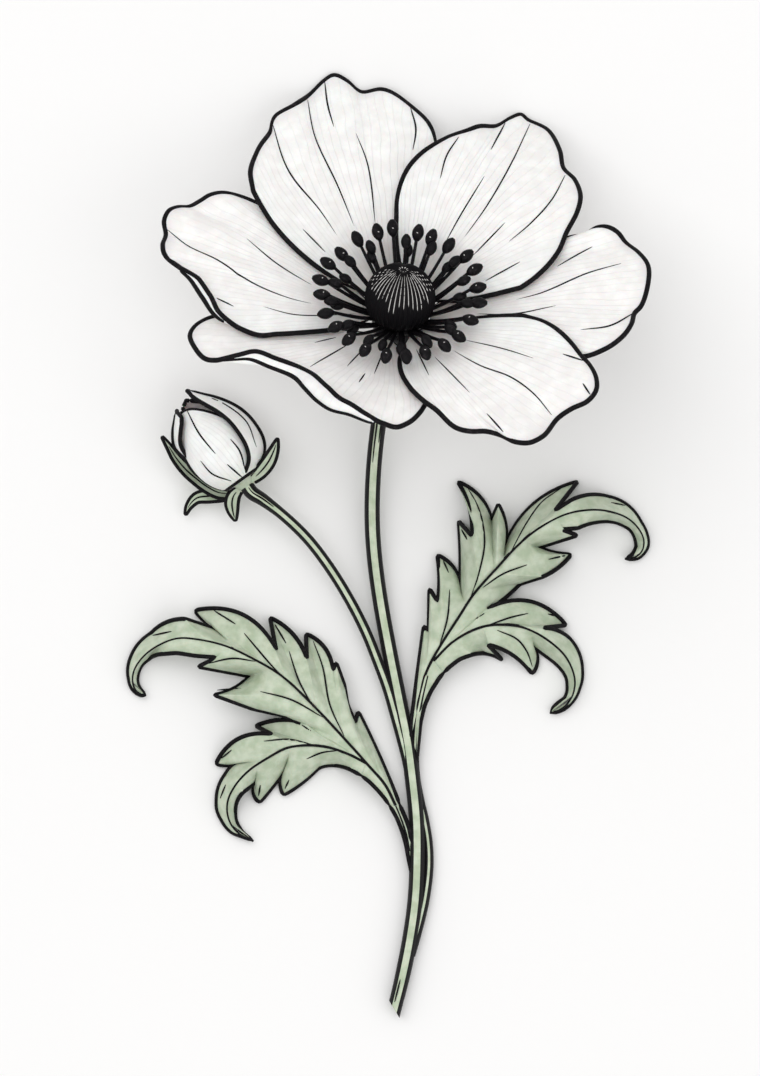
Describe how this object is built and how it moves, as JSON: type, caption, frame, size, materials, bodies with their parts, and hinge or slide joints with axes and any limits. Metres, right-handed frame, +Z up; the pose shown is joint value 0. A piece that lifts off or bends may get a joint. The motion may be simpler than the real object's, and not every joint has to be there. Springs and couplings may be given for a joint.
{
  "type": "cut anemone flower",
  "caption": "Cut stem of a Japanese anemone lying down, with an open flower, a bud on its own stalk and deeply lobed leaves; a bloom to lay on a table or put in a vase.",
  "frame": {"origin": "middle of the lying plant's footprint, on the surface it lies on", "axes": "+Y along the stem towards the flower, +Z up from the surface, +X to the right as the picture shows it"},
  "size_m": [0.0866, 0.156, 0.0486],
  "materials": {
    "petal": "matte",
    "bud_petal": "matte",
    "dark_centre": "satin",
    "stem": "satin",
    "leaf": "matte"
  },
  "bodies": {
    "root": {"petal_upper_left": "petal", "petal_upper_right": "petal", "petal_right": "petal", "petal_lower_right": "petal", "petal_lower_left": "petal", "petal_left": "petal", "carpel_dome": "dark_centre", "stamens": "dark_centre", "stem": "stem", "bud_petals": "bud_petal", "bud_outer_petal": "petal", "bud_bracts": "leaf", "leaf_left": "leaf", "leaf_right": "leaf"}
  },
  "joints": []
}
